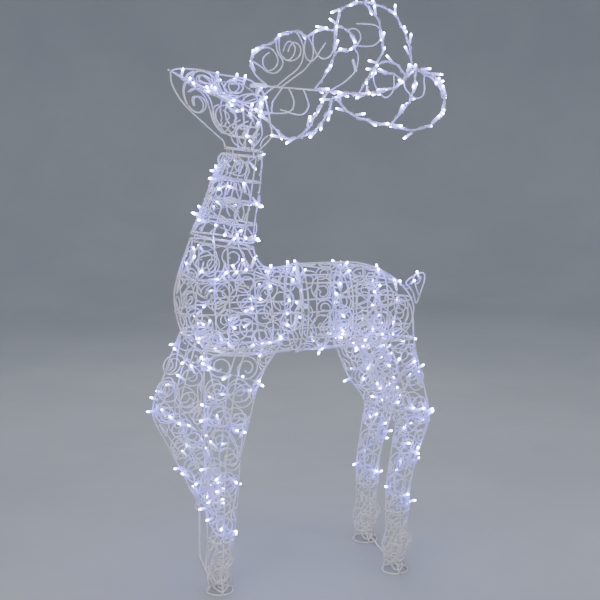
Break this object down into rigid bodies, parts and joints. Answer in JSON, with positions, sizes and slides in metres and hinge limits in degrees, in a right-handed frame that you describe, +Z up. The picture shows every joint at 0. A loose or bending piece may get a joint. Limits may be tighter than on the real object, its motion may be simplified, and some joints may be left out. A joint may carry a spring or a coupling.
{
  "type": "light-up yard reindeer",
  "caption": "Standing wire-frame reindeer with lights along its frame, one front leg raised on a stand rod, and antlers that swivel in clear sleeves.",
  "frame": {"origin": "middle of the outer box, on the ground", "axes": "+Z up, the head points along -X, and the deer's left side is -Y"},
  "size_m": [0.7451, 0.3579, 1.5113],
  "materials": {
    "white_wire": "satin white coating",
    "clear_plastic": "clear glossy",
    "white_plastic": "satin white",
    "cable_jacket": "satin white"
  },
  "bodies": {
    "deer_body": {"antler_socket_left": "clear_plastic", "antler_socket_right": "clear_plastic", "body_sleeve_bottom": "clear_plastic", "body_sleeve_left": "clear_plastic", "body_sleeve_right": "clear_plastic", "body_sleeve_top": "clear_plastic", "front_body_frame": "white_wire", "front_body_light_cable": "cable_jacket", "front_leg_left_frame": "white_wire", "front_leg_left_light_cable": "cable_jacket", "front_leg_left_tie_aft": "white_plastic", "front_leg_left_tie_fore": "white_plastic", "front_leg_right_frame": "white_wire", "front_leg_right_light_cable": "cable_jacket", "front_leg_right_tie_aft": "white_plastic", "front_leg_right_tie_fore": "white_plastic", "front_stand_rod": "white_wire", "head_frame": "white_wire", "head_light_cable": "cable_jacket", "head_tie_1": "white_plastic", "head_tie_2": "white_plastic", "head_tie_3": "white_plastic", "head_tie_4": "white_plastic", "neck_frame": "white_wire", "neck_light_cable": "cable_jacket", "neck_tie_1": "white_plastic", "neck_tie_2": "white_plastic", "neck_tie_3": "white_plastic", "neck_tie_4": "white_plastic", "rear_body_frame": "white_wire", "rear_body_light_cable": "cable_jacket", "rear_foot_brace": "white_wire", "rear_leg_left_frame": "white_wire", "rear_leg_left_light_cable": "cable_jacket", "rear_leg_left_tie_aft": "white_plastic", "rear_leg_left_tie_fore": "white_plastic", "rear_leg_right_frame": "white_wire", "rear_leg_right_light_cable": "cable_jacket", "rear_leg_right_tie_aft": "white_plastic", "rear_leg_right_tie_fore": "white_plastic", "stand_rod_tie": "white_plastic", "tail_loop": "white_wire", "tail_tie": "white_plastic"},
    "left_antler_body": {"antler_beam_cable_left": "cable_jacket", "antler_left": "white_wire", "antler_light_cable_left": "cable_jacket"},
    "right_antler_body": {"antler_beam_cable_right": "cable_jacket", "antler_light_cable_right": "cable_jacket", "antler_right": "white_wire"}
  },
  "joints": [
    {"name": "left_antler_swivel", "type": "hinge", "parent": "deer_body", "child": "left_antler_body", "pos_m": [-0.0885, -0.0187, 1.288], "axis": [0.9625, -0.2406, -0.1251], "range_deg": [-122, 3]},
    {"name": "right_antler_swivel", "type": "hinge", "parent": "deer_body", "child": "right_antler_body", "pos_m": [-0.0885, 0.0313, 1.288], "axis": [0.9762, 0.2148, -0.0293], "range_deg": [-117, 5]}
  ]
}
